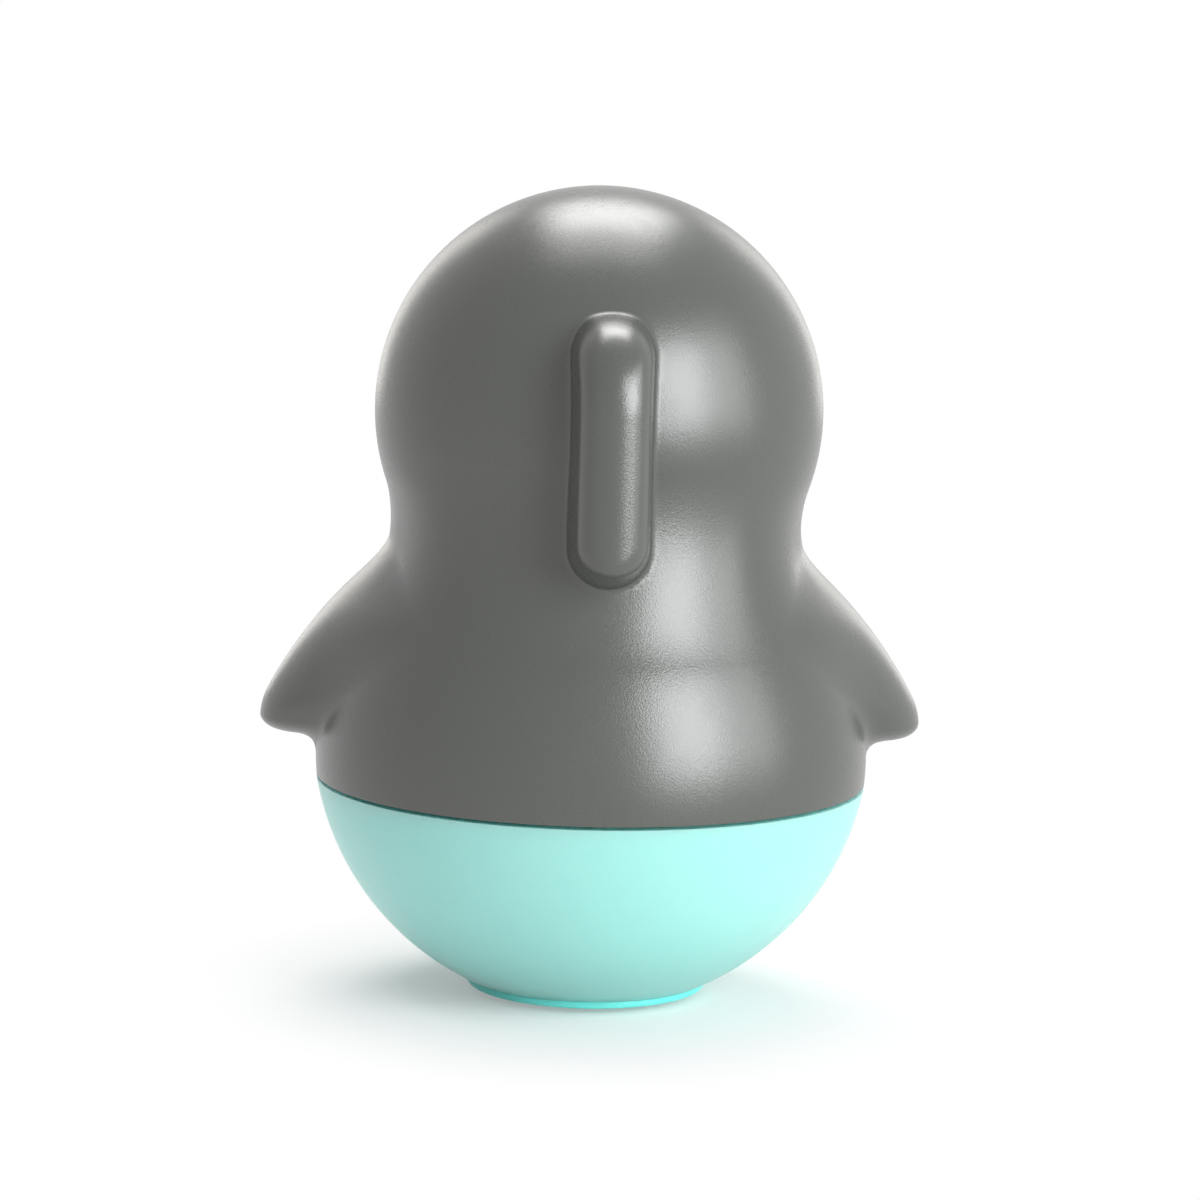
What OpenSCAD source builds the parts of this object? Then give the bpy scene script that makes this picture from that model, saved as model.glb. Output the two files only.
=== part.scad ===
// Roly poly toy: a round grey bird on a weighted aqua bowl, with a chime inside.
// +Z is up, the face looks along -Y and the grip fin along +Y.
// The origin is the middle of the foot, on the floor.

/* [Body] */
// Height of the crown above the floor
crown_z = 120; // [118:0.5:123]
// Radius of the head
head_r = 33; // [32:0.25:34]
// Radius of the belly
belly_r = 40.9; // [40:0.1:42]
// Height of the belly's widest point
belly_z = 36; // [35:0.25:37]
// Radius of the hollow curve at the neck
neck_r = 19.2; // [17:0.2:22]
// Wall of the grey shell and of the white panel
wall = 2.4; // [2:0.1:2.8]

/* [Wings] */
// Reach of a wing tip from the upright axis
wing_reach = 49.4; // [47:0.2:52]
// Height of a wing's lower edge
wing_low_z = 37.4; // [36.5:0.1:38.5]
// Height of a wing's top
wing_top_z = 66.8; // [64:0.2:68]
// Thickness of a wing at its root
wing_t = 31; // [27:0.5:33]
// How far a wing tip lies ahead of its root
wing_sweep = 4; // [2:0.25:6]
// How far a wing's upper edge bows out
wing_bow = 1.7; // [1:0.1:2.4]

/* [Grip fin] */
// Reach of the fin's crest from the upright axis
fin_reach = 43; // [40:0.5:45]
// Width of the fin where it leaves the shell
fin_base_w = 12.4; // [11:0.2:14]
// Width of the fin at its crest
fin_crest_w = 9.4; // [8.5:0.1:10.5]
// Height of the fin's lower end
fin_low_z = 63.2; // [61:0.2:66]
// Height of the fin's upper end
fin_top_z = 104; // [101:0.5:106]
// Radius of the fin's upper shoulder, seen from the side
fin_shoulder_r = 13; // [11:0.5:15]

/* [Seam] */
// Height of the parting line
seam_z = 32.3; // [31:0.1:33]
// Open line between the grey shell and the bowl
seam_gap = 0.5; // [0.4:0.05:0.8]
// Height of the bowl's lip above the parting line
lip_h = 6; // [5.5:0.25:7]
// Thickness of the lip
lip_t = 2.8; // [2.6:0.1:3.4]
// Clearance between the lip and the shell
lip_gap = 0.25; // [0.2:0.05:0.4]
// Section radius of the ring seal
seal_r = 0.9; // [0.7:0.05:1]

/* [Bowl and foot] */
// Wall of the bowl
bowl_wall = 2.6; // [2.2:0.1:3]
// Thickness of the bowl's flat floor
floor_t = 3; // [2.6:0.1:3.6]
// Radius of the foot
foot_r = 17.8; // [17:0.1:19]
// Thickness of the foot
foot_t = 2; // [1.8:0.1:2.4]
// Radius of the flat patch that the toy stands on
foot_flat_r = 7; // [6:0.25:9]
// Rise of the foot's underside from its flat to its rim
foot_rise = 0.9; // [0.6:0.05:1.1]
// Depth of the well for the closing screw's head
well_h = 3.5; // [3.2:0.1:4]
// Radius of the well
well_r = 5.2; // [5:0.1:6]

/* [Ballast] */
// Height of the ballast ring
ballast_h = 10; // [8:0.25:12]
// Circle of the ballast's screws
ballast_circle_r = 17; // [16:0.25:18]

/* [Deck] */
// Thickness of the deck
deck_t = 2.5; // [2.2:0.1:3]
// Distance of the deck's screws from the deck's edge
deck_screw_edge = 6.8; // [6.2:0.1:7.8]
// Radius of the shell's screw bosses
boss_r = 3.3; // [3:0.1:3.6]
// Height of the shell's screw bosses
boss_h = 11; // [9.5:0.25:13]
// Radius of the deck's middle post
post_r = 6; // [5:0.25:7]

/* [Screws] */
// Shank radius of the small screws
screw_r = 1.15; // [1:0.05:1.25]
// Head radius of the small screws
screw_head_r = 2.8; // [2.4:0.1:3]
// Head height of the small screws
screw_head_h = 1.9; // [1.6:0.1:2.2]
// Shank radius of the closing screw
closing_r = 1.9; // [1.6:0.05:2.1]
// Length of the closing screw below its head
closing_l = 24; // [20:0.5:26]

/* [Chime] */
// Radius of the chime plate
plate_r = 18; // [17:0.25:19]
// Thickness of the chime plate
plate_t = 3; // [2.5:0.25:3.5]
// Number of rods
rod_count = 10; // [6:1:12]
// Radius of a rod
rod_r = 0.9; // [0.7:0.05:1]
// Circle of the rods
rod_circle_r = 15; // [14.7:0.1:16]
// Length of the shortest rod above the plate
rod_short_h = 14; // [13:0.5:15]
// Step in length from one rod to the next
rod_step_h = 0.8; // [0.4:0.1:1]

/* [Clapper] */
// Radius of the striker ball
ball_r = 5.5; // [5:0.1:5.7]
// Height of the ball above the chime plate
ball_lift = 4.7; // [4:0.25:5.5]
// Distance from the ball's middle to its pivot
arm_l = 20; // [19.5:0.25:21]
// Radius of the arm
arm_r = 1.5; // [1.2:0.05:1.8]
// Radius of the cross pin
pin_r = 1; // [0.8:0.05:1.2]
// Radius of the hanger's fork
fork_r = 4.6; // [4.2:0.1:5]
// Radius of the hanger's stem
stem_r = 2; // [1.8:0.05:2.4]
// Running clearance of the stem and of the pin
run_gap = 0.05; // [0.03:0.01:0.08]

/* [Bridge] */
// Outer radius of the arch over the chime
arch_r = 24; // [23:0.25:24.5]
// Thickness of the arch
arch_t = 3; // [2.6:0.1:3.4]
// Width of the arch
arch_w = 9; // [8:0.25:10]
// Length of the arch's feet
arch_foot_l = 7.5; // [7:0.25:8]

/* [Face] */
// Radius of the panel round the face
face_r = 20; // [19:0.25:21]
// Height of the face's middle above the head's middle
face_rise = 1; // [0:0.25:2]
// Radius of the panel on the belly
bib_r = 17.5; // [17:0.25:18.5]
// Radius of the hollow curve between face and belly
bib_neck_r = 12; // [9:0.5:16]
// Width of the panel's hidden flange
flange_w = 2.4; // [2:0.1:2.6]
// Thickness of the panel's hidden flange
flange_t = 1.6; // [1.2:0.1:2]
// Open line round the panel
panel_gap = 0.15; // [0.1:0.05:0.25]
// Radius of an eye
eye_r = 3.4; // [2.8:0.1:3.8]
// Height of an eye's dome
eye_dome_h = 1.9; // [1.4:0.1:2.4]
// Radius of the beak
beak_r = 5.2; // [4.5:0.1:5.8]
// Length of the beak
beak_l = 9; // [7:0.25:11]

/* [Hidden] */
$fn = 96;

// Every cut runs this far past the faces that it opens
overrun = 1;
// Small gap between pieces that lie close and don't touch
slack = 0.3;
// Gap between a screw's thread and its pilot hole
thread_gap = 0.05;
// Steps along the arcs of the outlines
long_steps = 22;
short_steps = 10;
// Steps along the rounded outlines of the wings and the fin
form_steps = 5;
// What a rounding has over the wall, so that it stays round inside
round_over = 0.6;
// Turn from straight up at which an outline starts, so that its top is a small flat
top_turn = 1.5;

// Body
head_z = crown_z - head_r;
shell_edge_z = seam_z + seam_gap / 2;
neck = hollow_arc(head_r, head_z, belly_r, belly_z, neck_r);

// Wings
wing_root_share = 0.6;
wing_root_x = belly_r * wing_root_share;
wing_top_share = 0.745;
wing_top_x = belly_r * wing_top_share;
wing_tip_r = wall + round_over;
wing_tip_turn = 20;
wing_edge_r = 4;
wing_top_t = 20;

// Grip fin
fin_root_share = 0.8;
fin_root_y = head_r * fin_root_share;
fin_crest_rise = 4.6;
fin_crest_r = wall + round_over;
fin_end_r = wall + 2 * round_over;
fin_low_turn = -65;

// Bowl
rim_z = seam_z - seam_gap / 2;
rim_r = sqrt(pow(belly_r, 2) - pow(belly_z - rim_z, 2));
bowl_z = (pow(rim_r, 2) + pow(rim_z, 2) - pow(foot_r, 2) - pow(foot_t, 2)) / (2 * (rim_z - foot_t));
bowl_r = norm([rim_r, rim_z - bowl_z]);
bowl_in_r = bowl_r - bowl_wall;
floor_z = foot_t + floor_t;
well_top_z = foot_t + well_h;
hub_wall = 2.8;
hub_r = well_r + hub_wall;
hub_t = 3;
hub_top_z = well_top_z + hub_t;
closing_gap = 0.2;
closing_hole_r = closing_r + closing_gap;

// Lip and seal
lip_out_r = shell_in_r(shell_edge_z) - lip_gap;
lip_in_r = lip_out_r - lip_t;
lip_top_z = seam_z + lip_h;
lip_root = 2;
lip_root_z = seam_z - lip_root;
seal_gap = 0.05;
seal_share = 0.5;
seal_z = seam_z + lip_h * seal_share;
seal_circle_r = shell_in_r(seal_z) - seal_gap - seal_r;
groove_r = seal_circle_r - seal_r - seal_gap;
groove_h = 2 * (seal_r + seal_gap);

// Foot
foot_edge_share = 0.55;
foot_edge = (foot_t - foot_rise) * foot_edge_share;
foot_rim_r = foot_r - foot_edge;
peg_r = 1.5;
peg_h = 1.8;
peg_share = 0.66;
peg_circle_r = foot_r * peg_share;
peg_turns = [30, 150, 270];

// Ballast
ballast_top_z = floor_z + ballast_h;
ballast_in_r = hub_r + slack;
ballast_turns = [90, 210, 330];
stud_r = 3;
stud_top_z = ballast_top_z - slack;
washer_t = 0.8;
washer_r = 4.4;
washer_hole_r = screw_r + closing_gap;
ballast_screw_l = 9;

// Deck
deck_z = lip_top_z;
deck_top_z = deck_z + deck_t;
deck_r = lip_out_r - slack;
deck_circle_r = deck_r - deck_screw_edge;
deck_turns = [40, 140, 206, 334];
deck_screw_l = 9;
pilot_r = screw_r + thread_gap;
pilot_over = 1.2;
rib_t = 1.8;
rib_bite_share = 0.5;
post_gap = slack;
post_end_z = hub_top_z + post_gap;
closing_pilot_r = closing_r + thread_gap;
closing_head_r = 3.8;
closing_head_h = 1.5;
closing_washer_r = 4.8;

// Chime
plate_z = deck_top_z;
plate_top_z = plate_z + plate_t;
rod_fit = 0.03;
chime_screw_l = 8;

// Clapper
ball_z = plate_top_z + ball_lift + ball_r;
pivot_z = ball_z + arm_l;
lug_r = 3;
lug_t = 3;
lug_gap = 0.15;
slot_w = lug_t + 2 * lug_gap;
fork_crown = 2.6;
fork_z = pivot_z - lug_r;
slot_top_z = pivot_z + lug_r + slack;
fork_top_z = slot_top_z + fork_crown;
pin_fit = 0.02;
pin_inset = 0.3;
arm_end_share = 0.4;
arm_end_z = ball_z - ball_r * arm_end_share;
arm_fit = 0.03;

// Bridge
hub_gap = 0.1;
bush_z = fork_top_z + hub_gap;
bush_h = 5;
bush_r = 5.6;
bush_top_z = bush_z + bush_h;
bush_stand = 1;
arch_z = bush_top_z - bush_stand - arch_r;
arch_foot_h = 3;
arch_screw_x = arch_r + arch_foot_l / 2;
arch_screw_l = 9;
arch_stud_r = 3;
arch_stud_h = 7;
clip_t = 0.8;
clip_r = 4.2;
clip_groove_share = 0.72;
clip_groove_r = stem_r * clip_groove_share;
clip_mouth_share = 0.9;
clip_z = bush_top_z + hub_gap;
stem_end = 1;
stem_top_z = clip_z + clip_t + stem_end;

// Face panel
panel_clear = 0.8;
face_z = head_z + face_rise;
bib_z = deck_top_z + panel_clear + flange_w + bib_r;
bib_neck = hollow_arc(face_r, face_z, bib_r, bib_z, bib_neck_r);
flange_gap = 0.1;
flange_in = wall + flange_gap;
panel_depth = belly_r + overrun;

// Eyes and beak, turned and lifted from straight ahead
eye_turn = 19;
eye_lift = 5;
eye_seat = 0.6;
eye_fit = 0.1;
eye_stem_r = 1.4;
eye_stem_end = 1.4;
eye_clip_r = 3.4;
eye_clip_t = 0.7;
eye_bend_r = (pow(eye_r, 2) + pow(eye_dome_h, 2)) / (2 * eye_dome_h);
beak_lift = -8;
beak_seat = 0.8;
beak_stem_r = 2.6;
beak_screw_l = 6.2;
beak_head_r = 4;
back_gap = 0.3;
back_z = -wall - back_gap;

// Places on the head: turned about the upright axis and lifted above straight ahead
module on_head(turn, lift) {
    translate([0, 0, head_z]) rotate([90 - lift, 0, turn]) translate([0, 0, head_r]) children();
}

// Copies round the upright axis
module ring_of(turns, circle_r) {
    for (turn = turns) rotate([0, 0, turn]) translate([circle_r, 0, 0]) children();
}

module tube(out_r, in_r, h) {
    difference() {
        cylinder(r = out_r, h = h);
        translate([0, 0, -overrun]) cylinder(r = in_r, h = h + 2 * overrun);
    }
}

// Pan head screw: the shank points along +Z and the head's seat lies at zero
module screw(shank_r, length, head_r, head_h) {
    socket_share = 0.45;
    socket_r = head_r * socket_share;
    socket_h = head_h * socket_share;
    difference() {
        union() {
            translate([0, 0, -head_h / 2]) cylinder(r = shank_r, h = length + head_h / 2);
            translate([0, 0, -head_h]) cylinder(r = head_r, h = head_h);
        }
        translate([0, 0, -head_h - overrun]) cylinder(r = socket_r, h = socket_h + overrun, $fn = 6);
    }
}

function arc(x, z, r, from, to, steps, first = 0) = [
    for (i = [first : steps])
        let (turn = from + (to - from) * i / steps)
        [x + r * cos(turn), z + r * sin(turn)]
];

// Two round forms, one above the other, joined by a hollow arc that is tangent to both:
// the arc's centre and the directions in which it meets the upper and the lower form
function hollow_arc(top_r, top_z, low_r, low_z, arc_r) =
    let (
        apart = top_z - low_z,
        drop = (pow(top_r + arc_r, 2) - pow(low_r + arc_r, 2) + pow(apart, 2)) / (2 * apart),
        out = sqrt(pow(top_r + arc_r, 2) - pow(drop, 2))
    )
    [out, top_z - drop, atan2(-drop, out), atan2(apart - drop, out)];

// Right half of such an outline from its top down to a direction on the lower form, moved inwards by inset
function double_round(top_r, top_z, low_r, low_z, arc_r, hollow, end_turn, inset) = concat(
    arc(0, top_z, top_r - inset, 90 - top_turn, hollow[2], long_steps),
    arc(hollow[0], hollow[1], arc_r + inset, 180 + hollow[2], 180 + hollow[3], short_steps, 1),
    arc(0, low_z, low_r - inset, hollow[3], end_turn, short_steps, 1)
);

// Radius inside the shell at a height on the belly
function shell_in_r(z) = sqrt(pow(belly_r - wall, 2) - pow(z - belly_z, 2));

// Solid of the head and the belly down to a height, moved inwards by inset
module body_form(inset, end_z) {
    end_turn = asin((end_z - belly_z) / (belly_r - inset));
    side = double_round(head_r, head_z, belly_r, belly_z, neck_r, neck, end_turn, inset);
    rotate_extrude() polygon(concat([[0, side[0][1]]], side, [[0, end_z]]));
}

// Bar along -Y with the outline of the face panel, moved outwards by grow
module panel_bar(grow) {
    side = double_round(face_r, face_z, bib_r, bib_z, bib_neck_r, bib_neck, -90, -grow);
    other = [for (i = [len(side) - 2 : -1 : 0]) [-side[i][0], side[i][1]]];
    rotate([90, 0, 0]) linear_extrude(panel_depth) polygon(concat(side, other));
}

// Where three upright bars meet: an outline seen along Y, one along Z and one along X
module three_outlines(along_y, along_z, along_x) {
    span = 2 * crown_z;
    intersection() {
        rotate([90, 0, 0]) linear_extrude(span, center = true) polygon(along_y);
        linear_extrude(span, center = true) polygon(along_z);
        rotate([90, 0, 90]) linear_extrude(span, center = true) polygon(along_x);
    }
}

// Line from a to b that bows out to its right
function bowed(a, b, bow) =
    let (side = [b[1] - a[1], a[0] - b[0]] / norm(b - a))
    [for (i = [1 : form_steps]) let (t = i / form_steps) a + (b - a) * t + side * bow * 4 * t * (1 - t)];

// One wing on the +X side, moved inwards by inset
module wing(inset) {
    reach = wing_reach - inset;
    low_z = wing_low_z + inset;
    top_z = wing_top_z - inset;
    half_t = wing_t / 2 - inset;
    tip_r = wing_tip_r - inset;
    edge_r = wing_edge_r - inset;
    tip = arc(reach - tip_r, low_z + tip_r, tip_r, -90, wing_tip_turn, form_steps);
    edge = bowed(tip[form_steps], [wing_top_x - inset, top_z], wing_bow);
    from_behind = concat([[wing_root_x, low_z]], tip, edge, [[wing_root_x, top_z]]);
    from_above = [
        for (i = [-form_steps : form_steps])
            let (turn = 90 * i / form_steps)
            [wing_root_x + (reach - wing_root_x) * cos(turn), half_t * sin(turn) - wing_sweep * cos(turn)]
    ];
    mid_y = -wing_sweep / 2;
    low_y = half_t + wing_sweep / 2 - edge_r;
    top_y = wing_top_t / 2 - inset;
    from_side = concat(
        arc(mid_y - low_y, low_z + edge_r, edge_r, 180, 270, form_steps),
        arc(mid_y + low_y, low_z + edge_r, edge_r, 270, 360, form_steps),
        [[mid_y + top_y, top_z], [mid_y - top_y, top_z]]
    );
    three_outlines(from_behind, from_above, from_side);
}

// Grip fin, moved inwards by inset
module fin(inset) {
    low_z = fin_low_z + inset;
    top_z = fin_top_z - inset;
    reach = fin_reach - inset;
    base_x = fin_base_w / 2 - inset;
    crest_r = fin_crest_r - inset;
    end_r = fin_end_r - inset;
    shoulder_r = fin_shoulder_r - inset;
    crest_x = fin_crest_w / 2 - fin_crest_r;
    end_x = base_x - end_r;
    from_side = concat(
        [[fin_root_y, low_z]],
        arc(reach - crest_r, low_z + fin_crest_rise + crest_r, crest_r, fin_low_turn, 0, form_steps),
        arc(reach - shoulder_r, top_z - shoulder_r, shoulder_r, 0, 90, form_steps),
        [[fin_root_y, top_z]]
    );
    from_behind = concat(
        arc(-end_x, low_z + end_r, end_r, 180, 270, form_steps),
        arc(end_x, low_z + end_r, end_r, 270, 360, form_steps),
        arc(end_x, top_z - end_r, end_r, 0, 90, form_steps),
        arc(-end_x, top_z - end_r, end_r, 90, 180, form_steps)
    );
    from_above = concat(
        [[-base_x, fin_root_y], [base_x, fin_root_y]],
        arc(crest_x, reach - crest_r, crest_r, 0, 90, form_steps),
        arc(-crest_x, reach - crest_r, crest_r, 90, 180, form_steps)
    );
    three_outlines(from_behind, from_above, from_side);
}

// Screw bosses that hang inside the shell, each with a rib to the wall
module shell_bosses() {
    difference() {
        intersection() {
            ring_of(deck_turns, deck_circle_r) translate([0, 0, deck_top_z]) {
                cylinder(r = boss_r, h = boss_h);
                translate([0, -rib_t / 2, 0]) cube([belly_r - deck_circle_r, rib_t, boss_h]);
            }
            body_form(wall * rib_bite_share, shell_edge_z);
        }
        ring_of(deck_turns, deck_circle_r) translate([0, 0, deck_top_z - overrun])
            cylinder(r = pilot_r, h = deck_screw_l - deck_t + pilot_over + overrun);
    }
}

module back_shell() {
    color("dimgray") {
        difference() {
            union() {
                body_form(0, shell_edge_z);
                wing(0);
                mirror([1, 0, 0]) wing(0);
                fin(0);
            }
            body_form(wall, shell_edge_z - overrun);
            wing(wall);
            mirror([1, 0, 0]) wing(wall);
            fin(wall);
            panel_bar(panel_gap);
        }
        shell_bosses();
    }
}

module front_panel() {
    color("whitesmoke") difference() {
        intersection() {
            body_form(0, shell_edge_z);
            panel_bar(flange_w);
        }
        difference() {
            translate([0, 0, shell_edge_z - overrun]) cylinder(r = panel_depth, h = crown_z);
            body_form(flange_in, shell_edge_z - 2 * overrun);
            panel_bar(0);
        }
        body_form(flange_in + flange_t, shell_edge_z - overrun);
        intersection() {
            body_form(wall, shell_edge_z - overrun);
            panel_bar(-flange_w);
        }
        for (side = [-1, 1]) on_head(side * eye_turn, eye_lift) {
            translate([0, 0, -eye_seat]) cylinder(r = eye_r + eye_fit, h = eye_seat + overrun);
            translate([0, 0, -wall - overrun]) cylinder(r = eye_stem_r + eye_fit, h = wall + overrun);
        }
        on_head(0, beak_lift) {
            translate([0, 0, -beak_seat]) cylinder(r = beak_r + eye_fit, h = beak_seat + overrun);
            translate([0, 0, -wall - overrun]) cylinder(r = beak_stem_r + eye_fit, h = wall + overrun);
        }
    }
}

module eye(side) {
    rim_turn = acos(eye_r / eye_bend_r);
    dome = arc(0, eye_dome_h - eye_bend_r, eye_bend_r, rim_turn, 90, short_steps);
    stem_z = back_z - eye_clip_t - eye_stem_end;
    stem = [[0, stem_z], [eye_stem_r, stem_z], [eye_stem_r, -eye_seat], [eye_r, -eye_seat]];
    color("black") on_head(side * eye_turn, eye_lift) rotate_extrude() polygon(concat(stem, dome));
}

module eye_left() {
    eye(-1);
}

module eye_right() {
    eye(1);
}

module eye_clips() {
    color("silver") for (side = [-1, 1]) on_head(side * eye_turn, eye_lift)
        translate([0, 0, back_z - eye_clip_t])
            tube(eye_clip_r, eye_stem_r + thread_gap, eye_clip_t);
}

module beak() {
    stem_z = thread_gap - wall;
    nose = [
        for (i = [0 : short_steps])
            let (share = 1 - i / short_steps)
            [beak_r * share, beak_l * (1 - pow(share, 2))]
    ];
    stem = [[0, stem_z], [beak_stem_r, stem_z], [beak_stem_r, -beak_seat], [beak_r, -beak_seat]];
    color("orange") on_head(0, beak_lift) difference() {
        rotate_extrude() polygon(concat(stem, nose));
        translate([0, 0, stem_z - overrun])
            cylinder(r = pilot_r, h = back_z + beak_screw_l + pilot_over - stem_z + overrun);
    }
}

module beak_screw() {
    color("silver") on_head(0, beak_lift) translate([0, 0, back_z])
        screw(screw_r, beak_screw_l, beak_head_r, screw_head_h);
}

module bowl() {
    outer = arc(
        0, bowl_z, bowl_r,
        atan2(foot_t - bowl_z, foot_r), atan2(rim_z - bowl_z, rim_r), long_steps
    );
    lip = [
        [lip_out_r, rim_z],
        [lip_out_r, seal_z - groove_h / 2], [groove_r, seal_z - groove_h / 2],
        [groove_r, seal_z + groove_h / 2], [lip_out_r, seal_z + groove_h / 2],
        [lip_out_r, lip_top_z], [lip_in_r, lip_top_z], [lip_in_r, lip_root_z]
    ];
    inner = arc(
        0, bowl_z, bowl_in_r,
        asin((lip_root_z - lip_t - bowl_z) / bowl_in_r), asin((floor_z - bowl_z) / bowl_in_r), long_steps
    );
    hub = [
        [hub_r, floor_z], [hub_r, hub_top_z], [closing_hole_r, hub_top_z],
        [closing_hole_r, well_top_z], [well_r, well_top_z], [well_r, foot_t]
    ];
    color("paleturquoise") difference() {
        union() {
            rotate_extrude() polygon(concat(outer, lip, inner, hub));
            ring_of(ballast_turns, ballast_circle_r) translate([0, 0, floor_z - bowl_wall / 2])
                cylinder(r = stud_r, h = stud_top_z - floor_z + bowl_wall / 2);
        }
        ring_of(ballast_turns, ballast_circle_r)
            translate([0, 0, ballast_top_z + washer_t - ballast_screw_l - pilot_over])
                cylinder(r = pilot_r, h = ballast_screw_l + pilot_over);
        ring_of(peg_turns, peg_circle_r) translate([0, 0, foot_t - overrun])
            cylinder(r = peg_r + thread_gap, h = peg_h + thread_gap + overrun);
    }
}

module foot_cap() {
    span = pow(foot_rim_r, 2) - pow(foot_flat_r, 2);
    dome = [
        for (i = [0 : short_steps])
            let (r = foot_flat_r + (foot_rim_r - foot_flat_r) * i / short_steps)
            [r, foot_rise * (pow(r, 2) - pow(foot_flat_r, 2)) / span]
    ];
    edge = arc(foot_rim_r, foot_rise + foot_edge, foot_edge, -90, 0, short_steps, 1);
    color("mediumturquoise") {
        rotate_extrude() polygon(concat([[0, 0]], dome, edge, [[foot_r, foot_t], [0, foot_t]]));
        ring_of(peg_turns, peg_circle_r) translate([0, 0, foot_t / 2])
            cylinder(r = peg_r, h = foot_t / 2 + peg_h);
    }
}

module seam_seal() {
    color("gainsboro") rotate_extrude() translate([seal_circle_r, seal_z]) circle(r = seal_r);
}

module ballast() {
    side_r = bowl_in_r - slack;
    side = arc(
        0, bowl_z, side_r,
        asin((floor_z - bowl_z) / side_r), asin((ballast_top_z - bowl_z) / side_r), long_steps
    );
    color("slategray") difference() {
        rotate_extrude()
            polygon(concat([[ballast_in_r, floor_z]], side, [[ballast_in_r, ballast_top_z]]));
        ring_of(ballast_turns, ballast_circle_r) translate([0, 0, floor_z - overrun])
            cylinder(r = stud_r + slack, h = ballast_h + 2 * overrun);
    }
}

module ballast_washers() {
    color("silver") ring_of(ballast_turns, ballast_circle_r) translate([0, 0, ballast_top_z])
        tube(washer_r, washer_hole_r, washer_t);
}

module ballast_screws() {
    color("silver") ring_of(ballast_turns, ballast_circle_r) translate([0, 0, ballast_top_z + washer_t])
        mirror([0, 0, 1]) screw(screw_r, ballast_screw_l, screw_head_r, screw_head_h);
}

module deck() {
    color("ivory") difference() {
        union() {
            translate([0, 0, deck_z]) cylinder(r = deck_r, h = deck_t);
            translate([0, 0, post_end_z]) cylinder(r = post_r, h = deck_z - post_end_z + deck_t / 2);
            for (side = [-1, 1]) translate([side * arch_screw_x, 0, deck_z - arch_stud_h])
                cylinder(r = arch_stud_r, h = arch_stud_h + deck_t / 2);
        }
        translate([0, 0, post_end_z - overrun])
            cylinder(r = closing_pilot_r, h = well_top_z + closing_l + pilot_over - post_end_z + overrun);
        translate([0, 0, plate_top_z - chime_screw_l - pilot_over])
            cylinder(r = pilot_r, h = chime_screw_l + pilot_over);
        ring_of(deck_turns, deck_circle_r) translate([0, 0, deck_z - overrun])
            cylinder(r = washer_hole_r, h = deck_t + 2 * overrun);
        for (side = [-1, 1])
            translate([side * arch_screw_x, 0, deck_top_z + arch_foot_h - arch_screw_l - pilot_over])
                cylinder(r = pilot_r, h = arch_screw_l + pilot_over);
    }
}

module deck_screws() {
    color("silver") ring_of(deck_turns, deck_circle_r) translate([0, 0, deck_z])
        screw(screw_r, deck_screw_l, screw_head_r, screw_head_h);
}

module closing_screw() {
    color("silver") translate([0, 0, well_top_z - washer_t])
        screw(closing_r, closing_l + washer_t, closing_head_r, closing_head_h);
}

module closing_washer() {
    color("silver") translate([0, 0, well_top_z - washer_t])
        tube(closing_washer_r, closing_hole_r, washer_t);
}

module rod_places() {
    for (i = [0 : rod_count - 1]) rotate([0, 0, 360 / rod_count * (i + 1 / 2)])
        translate([rod_circle_r, 0, plate_z]) {
            $index = i;
            children();
        }
}

module chime_plate() {
    color("goldenrod") difference() {
        translate([0, 0, plate_z]) cylinder(r = plate_r, h = plate_t);
        translate([0, 0, plate_z - overrun]) cylinder(r = washer_hole_r, h = plate_t + 2 * overrun);
        rod_places() translate([0, 0, -overrun]) cylinder(r = rod_r + rod_fit, h = plate_t + 2 * overrun);
    }
}

module chime_rods() {
    color("silver") rod_places() cylinder(r = rod_r, h = plate_t + rod_short_h + rod_step_h * $index);
}

module chime_screw() {
    color("silver") translate([0, 0, plate_top_z]) mirror([0, 0, 1])
        screw(screw_r, chime_screw_l, screw_head_r, screw_head_h);
}

module bridge() {
    in_r = arch_r - arch_t;
    outline = concat(
        [[arch_r, deck_top_z]], arc(0, arch_z, arch_r, 0, 180, long_steps), [[-arch_r, deck_top_z]],
        [[-in_r, deck_top_z]], arc(0, arch_z, in_r, 180, 0, long_steps), [[in_r, deck_top_z]]
    );
    color("ivory") difference() {
        union() {
            translate([0, arch_w / 2, 0]) rotate([90, 0, 0]) linear_extrude(arch_w) polygon(outline);
            translate([0, 0, bush_z]) cylinder(r = bush_r, h = bush_h);
            for (side = [0, 1]) mirror([side, 0, 0])
                translate([in_r, -arch_w / 2, deck_top_z]) cube([arch_t + arch_foot_l, arch_w, arch_foot_h]);
        }
        translate([0, 0, bush_z - overrun]) cylinder(r = stem_r + run_gap, h = bush_h + 2 * overrun);
        for (side = [-1, 1]) translate([side * arch_screw_x, 0, deck_top_z - overrun])
            cylinder(r = washer_hole_r, h = arch_foot_h + 2 * overrun);
    }
}

module bridge_screws() {
    color("silver") for (side = [-1, 1]) translate([side * arch_screw_x, 0, deck_top_z + arch_foot_h])
        mirror([0, 0, 1]) screw(screw_r, arch_screw_l, screw_head_r, screw_head_h);
}

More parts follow.
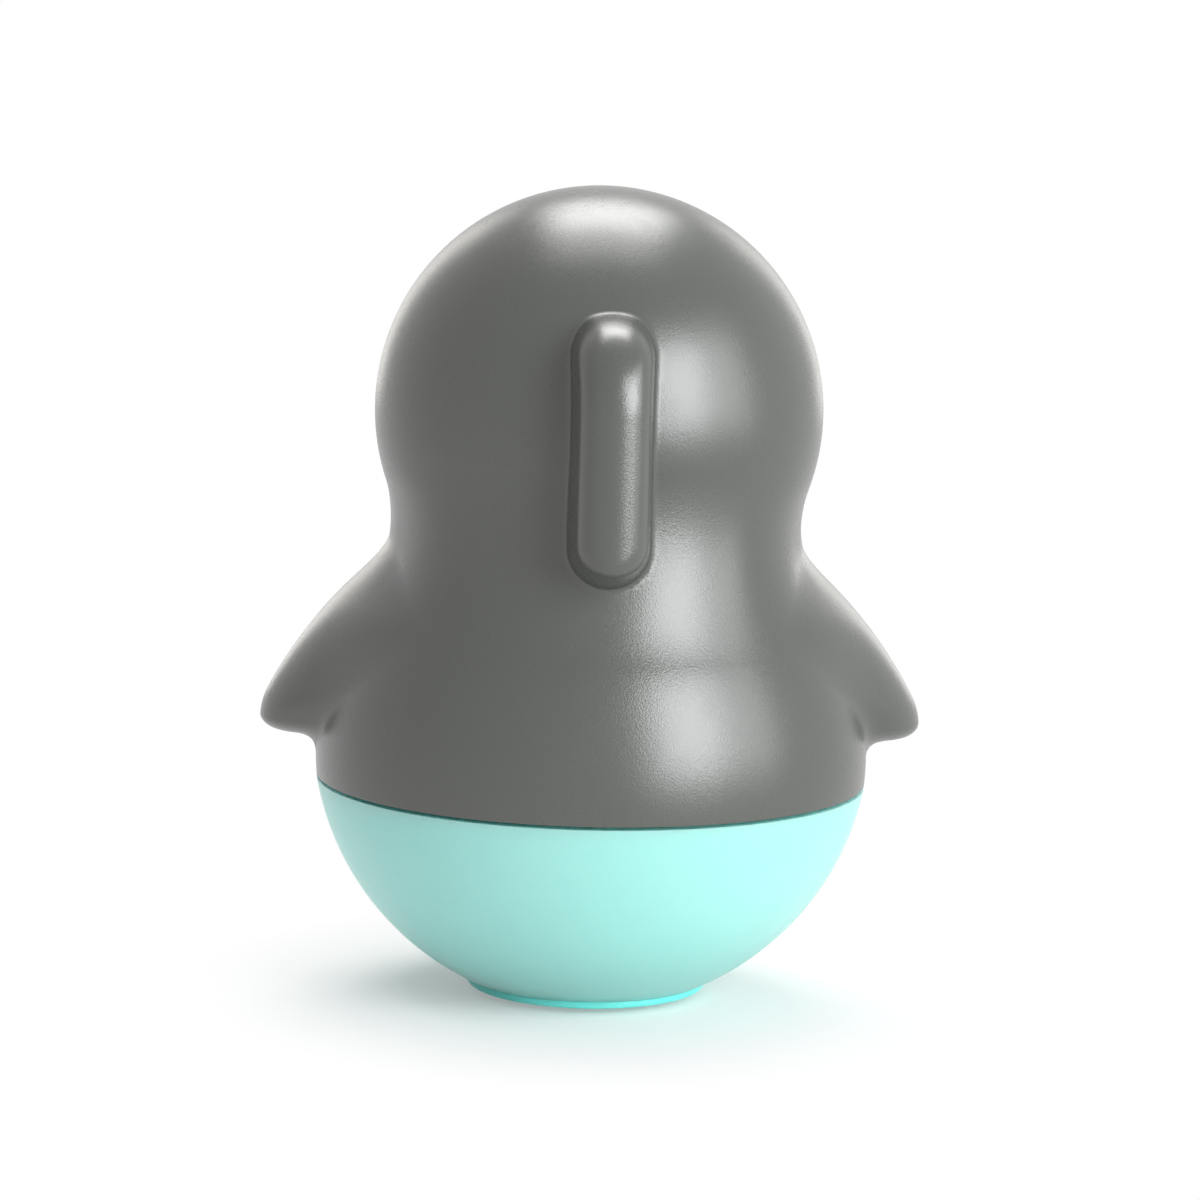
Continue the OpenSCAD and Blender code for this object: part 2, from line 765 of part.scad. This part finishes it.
module hanger() {
    color("ivory") difference() {
        union() {
            translate([0, 0, fork_z]) cylinder(r = fork_r, h = fork_top_z - fork_z);
            translate([0, 0, slot_top_z]) cylinder(r = stem_r, h = stem_top_z - slot_top_z);
        }
        translate([-slot_w / 2, -fork_r - overrun, fork_z - overrun])
            cube([slot_w, 2 * (fork_r + overrun), slot_top_z - fork_z + overrun]);
        translate([-fork_r - overrun, 0, pivot_z]) rotate([0, 90, 0])
            cylinder(r = pin_r + pin_fit, h = 2 * (fork_r + overrun));
        translate([0, 0, clip_z - thread_gap])
            tube(stem_r + overrun, clip_groove_r, clip_t + 2 * thread_gap);
    }
}

module hanger_clip() {
    mouth = 2 * clip_groove_r * clip_mouth_share;
    color("silver") translate([0, 0, clip_z]) difference() {
        tube(clip_r, clip_groove_r + thread_gap, clip_t);
        translate([0, -mouth / 2, -overrun]) cube([clip_r + overrun, mouth, clip_t + 2 * overrun]);
    }
}

module clapper_pin() {
    color("silver") translate([pin_inset - fork_r, 0, pivot_z]) rotate([0, 90, 0])
        cylinder(r = pin_r, h = 2 * (fork_r - pin_inset));
}

module clapper_arm() {
    color("silver") difference() {
        union() {
            translate([-lug_t / 2, 0, pivot_z]) rotate([0, 90, 0]) cylinder(r = lug_r, h = lug_t);
            translate([0, 0, arm_end_z]) cylinder(r = arm_r, h = pivot_z - arm_end_z);
        }
        translate([-lug_t / 2 - overrun, 0, pivot_z]) rotate([0, 90, 0])
            cylinder(r = pin_r + run_gap, h = lug_t + 2 * overrun);
    }
}

module clapper_ball() {
    color("goldenrod") difference() {
        translate([0, 0, ball_z]) sphere(r = ball_r);
        translate([0, 0, arm_end_z - arm_fit]) cylinder(r = arm_r + arm_fit, h = 2 * ball_r);
    }
}

back_shell();
front_panel();
beak();
beak_screw();
eye_left();
eye_right();
eye_clips();
bowl();
foot_cap();
seam_seal();
ballast();
ballast_washers();
ballast_screws();
deck();
deck_screws();
closing_screw();
closing_washer();
chime_plate();
chime_rods();
chime_screw();
bridge();
bridge_screws();
hanger();
hanger_clip();
clapper_pin();
clapper_arm();
clapper_ball();
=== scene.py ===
import math
import bpy
import numpy as np
from mathutils import Matrix, Vector


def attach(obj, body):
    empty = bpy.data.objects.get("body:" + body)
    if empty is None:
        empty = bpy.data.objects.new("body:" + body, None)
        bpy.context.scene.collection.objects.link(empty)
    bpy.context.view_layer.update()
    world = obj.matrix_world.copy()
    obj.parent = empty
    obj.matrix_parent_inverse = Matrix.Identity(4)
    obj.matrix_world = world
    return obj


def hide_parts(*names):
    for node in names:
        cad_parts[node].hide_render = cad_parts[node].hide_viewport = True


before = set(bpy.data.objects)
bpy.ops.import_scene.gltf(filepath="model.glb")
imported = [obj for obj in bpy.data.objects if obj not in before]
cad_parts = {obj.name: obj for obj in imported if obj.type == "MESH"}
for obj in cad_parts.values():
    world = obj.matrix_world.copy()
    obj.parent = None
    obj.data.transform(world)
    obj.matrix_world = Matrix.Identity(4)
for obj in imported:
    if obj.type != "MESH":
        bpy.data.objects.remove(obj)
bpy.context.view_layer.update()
mm = 0.001
print("frame loaded:", len(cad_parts), "nodes")

# fields of the moulded forms, in millimetres: below nought inside the form, above it outside


def softMin(a, b, reach):
    h = np.maximum(reach - np.abs(a - b), 0) / reach
    return np.minimum(a, b) - h * h * reach / 4


def softMax(a, b, reach):
    return -softMin(-a, -b, reach)


def roundMax(a, b, radius):  # outside corner with a true radius
    high = np.maximum(a, b)
    corner = np.hypot(np.maximum(a + radius, 0), np.maximum(b + radius, 0)) - radius
    return np.where(high < -radius, high, corner)


toyForm = {
    "headR": 33.0, "headZ": 87.0,
    "bellyR": 40.9, "bellyZ": 36.0,
    "neckR": 19.2,
    "backR": 42.0, "backFrom": 0.25, "backTo": 0.85,  # the hollow of the neck is shallower at the back
    "wall": 2.4,
    "seamZ": 32.3, "seamGap": 0.5,
    "skin": 0.02,  # the drawn faces lie this far inside the solids
}


def neckCentre(topR, topZ, lowR, lowZ, arcR):
    apart = topZ - lowZ
    drop = ((topR + arcR) ** 2 - (lowR + arcR) ** 2 + apart ** 2) / (2 * apart)
    return math.sqrt((topR + arcR) ** 2 - drop ** 2), topZ - drop


def doubleRound(r, z, topR, topZ, lowR, lowZ, arcR):  # two rounds with a hollow between them
    cr, cz = neckCentre(topR, topZ, lowR, lowZ, arcR)
    below = cr * (z - topZ) - (cz - topZ) * r < 0
    above = cr * (z - lowZ) - (cz - lowZ) * r > 0
    rounds = np.minimum(np.hypot(r, z - topZ) - topR, np.hypot(r, z - lowZ) - lowR)
    return np.where(below & above, arcR - np.hypot(r - cr, z - cz), rounds)


def bodyField(p):
    f = toyForm
    r = np.hypot(p[0], p[1])
    rounds = (f["headR"], f["headZ"], f["bellyR"], f["bellyZ"])
    sides = doubleRound(r, p[2], *rounds, f["neckR"])
    back = doubleRound(r, p[2], *rounds, f["backR"])
    turn = (p[1] / np.maximum(r, 1) - f["backFrom"]) / (f["backTo"] - f["backFrom"])
    turn = np.clip(turn, 0, 1)
    return sides + (back - sides) * turn * turn * (3 - 2 * turn)


wingForm = {
    "arcX": -10.2, "arcZ": 13.8, "arcR": 66.0, "arcShare": 0.99,  # upper edge, seen from behind
    "tipX": 49.3, "tipSoft": 1.2,
    "rootX": 24.5, "leastLength": 3.0, "sweep": 3.0, "swell": 1.6,
    "halfThick": 18.5, "wideZ": 46.0, "widen": 0.3, "leastHalf": 3.0,
    "topZ": 73.0, "topRate": 1.35, "topSoft": 3.0, "topEdge": 2.0,  # thin where it leaves the neck
    "bandZ": 53.3, "bandFall": 0.486, "bandTaper": 0.075, "bandSoft": 1.4, "bandLeast": 0.4,
    "lowZ": 38.4, "lowEdge": 2.4, "blend": 3.2, "steady": 0.2,
}


def wingField(p, body):
    f = wingForm
    x, y, z = np.abs(p[0]), p[1], p[2]
    rise = np.clip(z - f["arcZ"], 0, f["arcShare"] * f["arcR"])
    reach = softMin(f["arcX"] + np.sqrt(f["arcR"] ** 2 - rise ** 2), f["tipX"], f["tipSoft"])
    length = np.maximum(reach - f["rootX"], f["leastLength"])
    out = np.maximum(x - f["rootX"], 0)
    along = out / length
    half = f["halfThick"] + f["widen"] * np.maximum(z - f["wideZ"], 0)
    half = softMin(half, f["topRate"] * (f["topZ"] - z), f["topSoft"])
    half = np.maximum(half, f["leastHalf"])
    drop = softMax(f["bandZ"] - f["bandFall"] * out - z, 0, f["bandSoft"])
    half = half * np.maximum(1 - f["bandTaper"] * drop, f["bandLeast"])  # the band below leans inward
    across = np.abs(y + f["sweep"] * np.minimum(along, 1)) / half
    steep = f["swell"] * along ** (f["swell"] - 1) / length
    # the upper edge falls at about 45 degrees, so its slope counts twice
    slope = np.sqrt(2 * steep ** 2 + (2 * across / half) ** 2 + f["steady"] * half ** -2.0)
    flap = softMax((along ** f["swell"] + across ** 2 - 1) / slope, z - f["topZ"], f["topEdge"])
    return softMin(body, roundMax(flap, f["lowZ"] - z, f["lowEdge"]), f["blend"])


finForm = {
    "reach": 43.0, "crown": 7.0, "topZ": 104.2, "shoulder": 14.0,
    "rootY": 26.4, "baseHalf": 6.5, "crestHalf": 4.6,
    "capZ": 97.4, "capTall": 6.7, "lowZ": 69.7, "climb": 0.18,
    "crestEdge": 2.0, "fillet": 0.9,
    "endY": 12.0,  # inside the hollow head
}


def finField(p):
    f = finForm
    x, y, z = np.abs(p[0]), p[1], p[2]
    lean = (f["baseHalf"] - f["crestHalf"]) / (f["reach"] - f["rootY"])
    low = f["lowZ"] + f["climb"] * (y - f["rootY"])
    over = np.maximum(z - f["capZ"], 0) * f["baseHalf"] / f["capTall"]
    spread = np.hypot(x, over + np.maximum(low - z, 0))  # both ends are round
    flank = (spread - f["baseHalf"] + lean * (y - f["rootY"])) / math.hypot(1, lean)
    crest = y + x * x / (2 * f["crown"]) - f["reach"]
    side = roundMax(crest, z - f["topZ"], f["shoulder"])
    return np.maximum(roundMax(side, flank, f["crestEdge"]), f["endY"] - y)


panelForm = {
    "faceR": 20.0, "faceZ": 88.0, "bibR": 17.5, "bibZ": 61.5, "hollowR": 12.0, "gap": 0.15,
}


def panelOutline(p):
    f = panelForm
    flat = doubleRound(np.abs(p[0]), p[2], f["faceR"], f["faceZ"], f["bibR"], f["bibZ"], f["hollowR"])
    return np.maximum(flat, p[1])


def shellField(p):  # one row for each face: outside, inside, lower edge and the panel's opening
    f = toyForm
    body = bodyField(p)
    outside = softMin(wingField(p, body), finField(p), finForm["fillet"]) + f["skin"]
    inside = -(body + f["wall"] - f["skin"])
    edge = f["seamZ"] + f["seamGap"] / 2 - p[2]
    return np.stack([outside, inside, edge, panelForm["gap"] - panelOutline(p)])


def panelField(p):
    f = toyForm
    body = bodyField(p)
    return np.stack([body + f["skin"], -(body + f["wall"]), panelOutline(p)])


# meshes


def addPiece(name, points, faces, normals=None):
    mesh = bpy.data.meshes.new(name)
    mesh.from_pydata(points, [], faces)
    mesh.polygons.foreach_set("use_smooth", [True] * len(mesh.polygons))
    if normals is not None:
        mesh.normals_split_custom_set(normals)
    piece = bpy.data.objects.new(name, mesh)
    bpy.context.scene.collection.objects.link(piece)
    return piece


meshing = {
    "probe": 0.02,  # half the span over which a slope is measured
    "turns": 6, "swapTurns": 2, "stride": 0.5,  # how points settle
    "farOff": 50, "tiny": 1e-9, "steady": 1e-6,
}
cellCorners = [(i, j, k) for i in (0, 1) for j in (0, 1) for k in (0, 1)]


def slopes(field, points):
    probe = meshing["probe"]
    out = []
    for axis in range(3):
        step = np.zeros((3, 1))
        step[axis] = probe
        out.append((field(points + step) - field(points - step)) / (2 * probe))
    return np.stack(out)  # axis, face, point


def surfaceCells(inside):
    a, b, c = size = np.array(inside.shape) - 1
    count = sum(inside[i:a + i, j:b + j, k:c + k].astype(np.int8) for i, j, k in cellCorners)
    cells = np.argwhere((count > 0) & (count < len(cellCorners)))
    number = np.full(size, -1)
    number[tuple(cells.T)] = np.arange(len(cells))
    return cells, number


def crossings(values, cells):  # mean of the points where the surface crosses a cell's edges
    corner = {c: values[tuple((cells + c).T)] for c in cellCorners}
    total, hits = np.zeros((len(cells), 3)), np.zeros((len(cells), 1))
    for a in cellCorners:
        for axis in range(3):
            if a[axis]:
                continue
            b = tuple(v + (i == axis) for i, v in enumerate(a))
            crosses = (corner[a] < 0) != (corner[b] < 0)
            share = np.where(crosses, corner[a] / np.where(crosses, corner[a] - corner[b], 1), 0)
            spot = np.array(a, float) + share[:, None] * (np.array(b) - np.array(a))
            total += spot * crosses[:, None]
            hits += crosses[:, None]
    return cells + total / hits


def cellFaces(inside, number):
    faces = []
    for axis in range(3):
        u, v = (axis + 1) % 3, (axis + 2) % 3
        first = [slice(1, -1)] * 3
        second = [slice(1, -1)] * 3
        first[axis], second[axis] = slice(0, -1), slice(1, None)
        lower, upper = inside[tuple(first)], inside[tuple(second)]
        for outward, mask in ((True, lower & ~upper), (False, ~lower & upper)):
            spots = np.argwhere(mask)
            spots[:, u] += 1
            spots[:, v] += 1
            ring = []
            for du, dv in ((-1, -1), (0, -1), (0, 0), (-1, 0)):
                s = spots.copy()
                s[:, u] += du
                s[:, v] += dv
                ring.append(number[tuple(s.T)])
            quad = np.stack(ring, 1)
            faces.append(quad if outward else quad[:, ::-1])
    return np.concatenate(faces)


def settle(field, points, turns, step):  # onto the true surface, and by an edge onto both of its faces
    m = meshing
    parts = field(points)
    every = np.arange(points.shape[1])
    order = np.argsort(-np.where(turns, parts, parts - m["farOff"]), 0)
    one, two = order[0], order[1]
    onEdge = turns.sum(0) > 1
    one = np.where(onEdge, one, parts.argmax(0))
    for turn in range(m["turns"]):
        parts, slope = field(points), slopes(field, points)
        g1, g2 = slope[:, one, every], slope[:, two, every]
        c1, c2 = parts[one, every], parts[two, every]
        a, b, d = (g1 * g1).sum(0) + m["tiny"], (g1 * g2).sum(0), (g2 * g2).sum(0) + m["tiny"]
        det = a * d - b * b + m["steady"]
        both = g1 * ((d * c1 - b * c2) / det) + g2 * ((a * c2 - b * c1) / det)
        move = np.where(onEdge, both, g1 * (c1 / a))
        points = points - np.clip(move, -m["stride"] * step, m["stride"] * step)
        if turn < m["swapTurns"]:  # away from the edges the nearest face can change on the way
            one = np.where(onEdge, one, field(points).argmax(0))
    slope = slopes(field, points)
    faced = slope[:, one, every], slope[:, two, every]
    unit = [g / (np.linalg.norm(g, axis=0) + m["tiny"]) for g in faced]
    return points, unit, onEdge


def cornerNormals(p, faces, unit, onEdge):  # at an edge, each face corner takes its own face's slope
    across = np.cross(p[faces[:, 2]] - p[faces[:, 0]], p[faces[:, 3]] - p[faces[:, 1]])
    loops = faces.reshape(-1)
    own = np.repeat(across, 4, 0)
    n1, n2 = unit[0].T[loops], unit[1].T[loops]
    second = onEdge[loops] & ((own * n2).sum(1) > (own * n1).sum(1))
    return np.where(second[:, None], n2, n1)


def mouldMesh(name, field, low, high, step):
    axes = [np.arange(a, b + step, step) for a, b in zip(low, high)]
    whole = field(np.stack([g.astype(np.float32) for g in np.meshgrid(*axes, indexing="ij")]))
    values = whole.max(0)
    inside = values < 0
    cells, number = surfaceCells(inside)
    faces = cellFaces(inside, number)
    atCorners = np.stack([whole[(slice(None), *(cells + c).T)] for c in cellCorners])
    turns = (atCorners.min(0) < 0) & (atCorners.max(0) > 0)  # faces that run through the cell
    points = (np.array(low) + crossings(values, cells) * step).T
    points, unit, onEdge = settle(field, points, turns, step)
    p = points.T
    normals = cornerNormals(p, faces, unit, onEdge)
    print(name, "mesh:", len(p), "points", len(faces), "faces")
    return addPiece(name, (p * mm).tolist(), faces.tolist(), normals.tolist())


# finishes


class Wire:
    def __init__(self, finish, socket):
        self.finish, self.socket = finish, socket

    def maths(self, operation, a, b):
        return self.finish.node("ShaderNodeMath", {"operation": operation}, {0: a, 1: b})

    def __add__(self, other):
        return self.maths("ADD", self, other)

    def __radd__(self, other):
        return self.maths("ADD", other, self)

    def __sub__(self, other):
        return self.maths("SUBTRACT", self, other)

    def __rsub__(self, other):
        return self.maths("SUBTRACT", other, self)

    def __mul__(self, other):
        return self.maths("MULTIPLY", self, other)

    def __rmul__(self, other):
        return self.maths("MULTIPLY", other, self)


class Finish:
    def __init__(self, name, holder=None):
        self.material = holder or bpy.data.materials.new(name)
        self.material.use_nodes = True
        self.tree = self.material.node_tree
        self.tree.nodes.clear()

    def node(self, kind, settings=None, sockets=None, output=0):
        made = self.tree.nodes.new(kind)
        for key, value in (settings or {}).items():
            setattr(made, key, value)
        for key, value in (sockets or {}).items():
            socket = made.inputs[key]
            if isinstance(value, Wire):
                self.tree.links.new(value.socket, socket)
            elif socket.type == "RGBA":
                socket.default_value = (*value, 1)
            else:
                socket.default_value = value
        return Wire(self, made.outputs[output]) if made.outputs else None

    def place(self):
        return self.node("ShaderNodeTexCoord", output="Object")

    def noise(self, place, scale, detail, rough):
        sockets = {"Vector": place, "Scale": scale, "Detail": detail, "Roughness": rough}
        return self.node("ShaderNodeTexNoise", None, sockets)

    def blend(self, share, a, b):
        return self.node("ShaderNodeMix", {"data_type": "RGBA"}, {0: share, 6: a, 7: b}, 2)

    def ramp(self, value, low, high):
        sockets = {"Value": value, "From Min": low, "From Max": high}
        return self.node("ShaderNodeMapRange", {"clamp": True}, sockets)

    def bump(self, height, strength, distance):
        sockets = {"Height": height, "Strength": strength, "Distance": distance}
        return self.node("ShaderNodeBump", None, sockets)

    def backdropRays(self):  # the lens, clear pieces and gloss see the white
        lens, glossy, clear = [self.node("ShaderNodeLightPath", output="Is " + ray + " Ray")
                               for ray in ("Camera", "Glossy", "Transmission")]
        return lens.maths("MAXIMUM", lens.maths("MAXIMUM", lens, clear), glossy)

    def close(self, shader, kind="ShaderNodeOutputMaterial"):
        self.node(kind, None, {"Surface": shader})
        return self.material


def linear(tone):
    return tuple((c / 255 / 12.92) if c <= 10 else ((c / 255 + 0.055) / 1.055) ** 2.4 for c in tone)


plasticFinishes = {
    "greyPlastic": {"tone": (68, 70, 66), "deep": (63, 65, 61), "rough": 0.27, "grain": 0.16,
                    "size": 3800, "ior": 1.66},
    "aquaPlastic": {"tone": (139, 195, 189), "deep": (131, 191, 184), "rough": 0.34, "grain": 0.06,
                    "size": 3800, "soft": 0.5},
    # the foot cap's tone is its own stronger aqua, pushed to a brighter green as painted light against
    # the shade under the bowl
    "footPlastic": {"tone": (108, 240, 230), "deep": (100, 236, 226), "rough": 0.38, "grain": 0.05,
                    "size": 3800, "soft": 0.5},
    "whitePlastic": {"tone": (236, 234, 226), "deep": (228, 226, 218), "rough": 0.34, "grain": 0.08,
                     "size": 3800},
    "orangePlastic": {"tone": (238, 140, 40), "deep": (228, 128, 32), "rough": 0.30, "grain": 0.05,
                      "size": 3800},
    "blackPlastic": {"tone": (22, 22, 24), "deep": (17, 17, 19), "rough": 0.12},
    "ivoryPlastic": {"tone": (226, 219, 198), "deep": (216, 208, 186), "rough": 0.45, "grain": 0.10,
                     "size": 2600},
    "hangerPlastic": {"tone": (190, 200, 204), "deep": (180, 190, 195), "rough": 0.40, "grain": 0.06,
                      "size": 2600},
    "sealSilicone": {"tone": (206, 208, 206), "deep": (196, 198, 196), "rough": 0.55, "grain": 0.05,
                     "size": 1800},
}
plasticLook = {  # each noise has its scale, detail and roughness
    "cloud": (38, 3, 0.55), "cloudRough": 0.06,
    "rub": (160, 4, 0.6), "rubFrom": 0.56, "rubTo": 0.74, "rubRough": 0.04,  # faint handling marks
    "grainDetail": (2, 0.6), "grainDeep": 0.0002,
    "ior": 1.54, "spread": 0.01, "spreadTone": (0.7, 1.0, 1.0),
}


def plasticFinish(name):
    s, look = plasticFinishes[name], plasticLook
    f = Finish(name)
    place = f.place()
    cloud = f.noise(place, *look["cloud"])
    rub = f.ramp(f.noise(place, *look["rub"]), look["rubFrom"], look["rubTo"])
    sockets = {
        "Base Color": f.blend(cloud, linear(s["tone"]), linear(s["deep"])),
        "Roughness": s["rough"] + (cloud - 0.5) * look["cloudRough"] + rub * look["rubRough"],
        "IOR": s.get("ior", look["ior"]),
    }
    if "soft" in s:  # light that spreads inside a pale plastic
        sockets.update({"Subsurface Weight": s["soft"], "Subsurface Scale": look["spread"],
                        "Subsurface Radius": look["spreadTone"]})
    if "grain" in s:
        grain = f.noise(place, s["size"], *look["grainDetail"])
        sockets["Normal"] = f.bump(grain, s["grain"], look["grainDeep"])
    return f.close(f.node("ShaderNodeBsdfPrincipled", None, sockets))


metalFinishes = {
    "ballastIron": {"tone": (96, 94, 92), "deep": (70, 66, 62), "rough": 0.55, "brush": 300},
    "screwSteel": {"tone": (186, 188, 190), "deep": (160, 162, 166), "rough": 0.30, "brush": 2400},
    "springSteel": {"tone": (150, 152, 156), "deep": (120, 122, 128), "rough": 0.35, "brush": 2000},
    "rodSteel": {"tone": (206, 208, 210), "deep": (186, 188, 192), "rough": 0.20, "brush": 1500},
    "chimeBrass": {"tone": (214, 178, 102), "deep": (186, 148, 78), "rough": 0.28, "brush": 900},
}
metalLook = {
    "patch": (120, 4, 0.6), "patchRough": 0.16,
    "brushDetail": (3, 0.6), "brushBump": 0.12, "brushDeep": 0.0002,
}


def metalFinish(name):
    s, look = metalFinishes[name], metalLook
    f = Finish(name)
    place = f.place()
    patch = f.noise(place, *look["patch"])
    brush = f.noise(place, s["brush"], *look["brushDetail"])
    sockets = {
        "Base Color": f.blend(patch, linear(s["tone"]), linear(s["deep"])),
        "Metallic": 1.0,
        "Roughness": s["rough"] + (patch - 0.5) * look["patchRough"],
        "Normal": f.bump(brush, look["brushBump"], look["brushDeep"]),
    }
    return f.close(f.node("ShaderNodeBsdfPrincipled", None, sockets))


finishes = {name: plasticFinish(name) for name in plasticFinishes}
finishes.update({name: metalFinish(name) for name in metalFinishes})
print("finishes:", len(finishes))


def dress(piece, finish):
    piece.data.materials.clear()
    piece.data.materials.append(finishes[finish])


def standIn(piece, node, finish):
    dress(piece, finish)
    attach(piece, "toy")
    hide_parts(node)


# the grey shell, with its wings and grip fin, and the white front panel

shellGrid = {"low": (-50.625, -41.95, 31.45), "high": (50.7, 44.0, 121.0), "step": 0.75}
shell = mouldMesh("greyShell", shellField, **shellGrid)
standIn(shell, "back_shell", "greyPlastic")

panelGrid = {"low": (-21.3, -41.9, 43.13), "high": (21.3, -15.0, 109.0), "step": 0.6}
panel = mouldMesh("frontPanel", panelField, **panelGrid)
standIn(panel, "front_panel", "whitePlastic")
print("shell and panel done")

# the frame's own pieces

nodeFinishes = {
    "beak": "orangePlastic", "eye_left": "blackPlastic", "eye_right": "blackPlastic",
    "bowl": "aquaPlastic", "foot_cap": "footPlastic", "seam_seal": "sealSilicone",
    "ballast": "ballastIron", "deck": "ivoryPlastic", "bridge": "ivoryPlastic",
    "hanger": "hangerPlastic", "clapper_ball": "hangerPlastic",
    "chime_plate": "chimeBrass", "chime_rods": "rodSteel",
    "clapper_arm": "rodSteel", "clapper_pin": "rodSteel",
    "eye_clips": "springSteel", "hanger_clip": "springSteel",
    "beak_screw": "screwSteel", "ballast_washers": "screwSteel", "ballast_screws": "screwSteel",
    "deck_screws": "screwSteel", "closing_screw": "screwSteel", "closing_washer": "screwSteel",
    "chime_screw": "screwSteel", "bridge_screws": "screwSteel",
}
for node, finish in nodeFinishes.items():
    dress(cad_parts[node], finish)
print("nodes dressed:", len(nodeFinishes))

# camera, floor and lights

cameraPlace = {  # millimetres and degrees
    "distance": 640.0, "aside": -0.8, "height": 150.9, "yaw": 3.4, "pitch": 8.19, "roll": 1.4,
    "lens": 130.95, "sensor": 36,
    "clip": (0.01, 50),  # metres
}


def placeCamera():
    c = cameraPlace
    yaw, pitch, roll = [math.radians(c[key]) for key in ("yaw", "pitch", "roll")]
    right = Vector((-math.cos(yaw), math.sin(yaw), 0))
    back = Vector((math.sin(yaw), math.cos(yaw), 0))
    ahead = -back * math.cos(pitch) - Vector((0, 0, math.sin(pitch)))
    up = right.cross(ahead)
    turn = Matrix((right, up, -ahead)).transposed().to_4x4() @ Matrix.Rotation(roll, 4, "Z")
    spot = -right * c["aside"] + back * c["distance"] + Vector((0, 0, c["height"]))
    lens = bpy.data.cameras.new("photoCamera")
    lens.lens, lens.sensor_width = c["lens"], c["sensor"]
    lens.clip_start, lens.clip_end = c["clip"]
    camera = bpy.data.objects.new("photoCamera", lens)
    camera.matrix_world = Matrix.Translation(spot * mm) @ turn
    bpy.context.scene.collection.objects.link(camera)
    bpy.context.scene.camera = camera


floorLook = {  # metres
    "half": 6.0, "sink": 0.00005, "tone": 0.9,
    "near": 0.3, "nearEnd": 0.026, "farStart": 0.06,  # share of white under the toy, and where it grows
    "table": 1.6,  # what the bright table throws up on matt surfaces
}


def layFloor():
    look = floorLook
    h = look["half"]
    floor = addPiece("studioFloor", [(-h, -h, 0), (h, -h, 0), (h, h, 0), (-h, h, 0)], [(0, 1, 2, 3)])
    floor.location.z = -look["sink"]
    f = Finish("floorWhite")
    seen = f.backdropRays()
    matt = f.node("ShaderNodeBsdfDiffuse", None, {"Color": (look["tone"],) * 3})
    white = f.node("ShaderNodeEmission", None, {"Color": (1, 1, 1), "Strength": 1.0})
    table = f.node("ShaderNodeEmission", None, {"Color": (1, 1, 1), "Strength": look["table"]})
    glow = f.node("ShaderNodeMixShader", None, {0: seen, 1: table, 2: white})
    away = f.node("ShaderNodeVectorMath", {"operation": "LENGTH"}, {0: f.place()}, "Value")
    far = f.ramp(away, look["nearEnd"], look["farStart"])  # white beyond the object's shadow
    share = far + seen * (1 - far) * look["near"]
    mix = f.node("ShaderNodeMixShader", None, {0: share, 1: matt, 2: glow})
    floor.data.materials.append(f.close(mix))


worldLook = {"tone": 0.18}


def lightWorld():
    f = Finish("studioWorld", bpy.data.worlds.new("studioWorld"))
    dim = f.node("ShaderNodeBackground", None, {"Color": (worldLook["tone"],) * 3})
    white = f.node("ShaderNodeBackground", None, {"Color": (1, 1, 1)})
    mix = f.node("ShaderNodeMixShader", None, {0: f.backdropRays(), 1: dim, 2: white})
    bpy.context.scene.world = f.close(mix, "ShaderNodeOutputWorld")


studioLamps = {  # turned to the right of the photo, and lifted, in degrees; wide and tall in metres
    "rightBox": {"turn": 40, "lift": 15, "wide": 0.46, "tall": 0.8, "watts": 10.8,
                 "tone": (0.97, 1.0, 1.0)},
    "sideBox": {"turn": 66, "lift": 15, "wide": 0.50, "tall": 0.8, "watts": 4.4,
                "tone": (0.97, 1.0, 1.0)},
    "crownBox": {"turn": 178, "lift": 57, "wide": 0.50, "tall": 0.42, "watts": 4.1,
                 "tone": (1.0, 1.0, 0.98)},
    "topBox": {"turn": 178, "lift": 76, "wide": 0.60, "tall": 0.5, "watts": 3.0,
               "tone": (1.0, 1.0, 0.98)},
    "leftEdgeBox": {"turn": -156, "lift": 15, "wide": 0.24, "tall": 0.6, "watts": 0.7,
                    "tone": (1.0, 0.96, 0.90)},
    "rightEdgeBox": {"turn": 156, "lift": 12, "wide": 0.24, "tall": 0.6, "watts": 0.6,
                     "tone": (1.0, 0.98, 0.94)},
}
lampAim = {"far": 0.95, "height": 0.06}  # metres


def hangLamps():
    for name, s in studioLamps.items():
        lamp = bpy.data.lights.new(name, "AREA")
        lamp.shape, lamp.size, lamp.size_y = "RECTANGLE", s["wide"], s["tall"]
        lamp.energy, lamp.color = s["watts"], s["tone"]
        turn, lift = math.radians(s["turn"] - cameraPlace["yaw"]), math.radians(s["lift"])
        level = math.cos(lift)
        way = Vector((-math.sin(turn) * level, math.cos(turn) * level, math.sin(lift)))
        hung = bpy.data.objects.new(name, lamp)
        hung.location = Vector((0, 0, lampAim["height"])) + way * lampAim["far"]
        hung.rotation_euler = way.to_track_quat("Z", "Y").to_euler()
        bpy.context.scene.collection.objects.link(hung)


placeCamera()
layFloor()
lightWorld()
hangLamps()
bpy.context.scene.view_settings.view_transform = "Standard"
print("camera, floor and lights done")
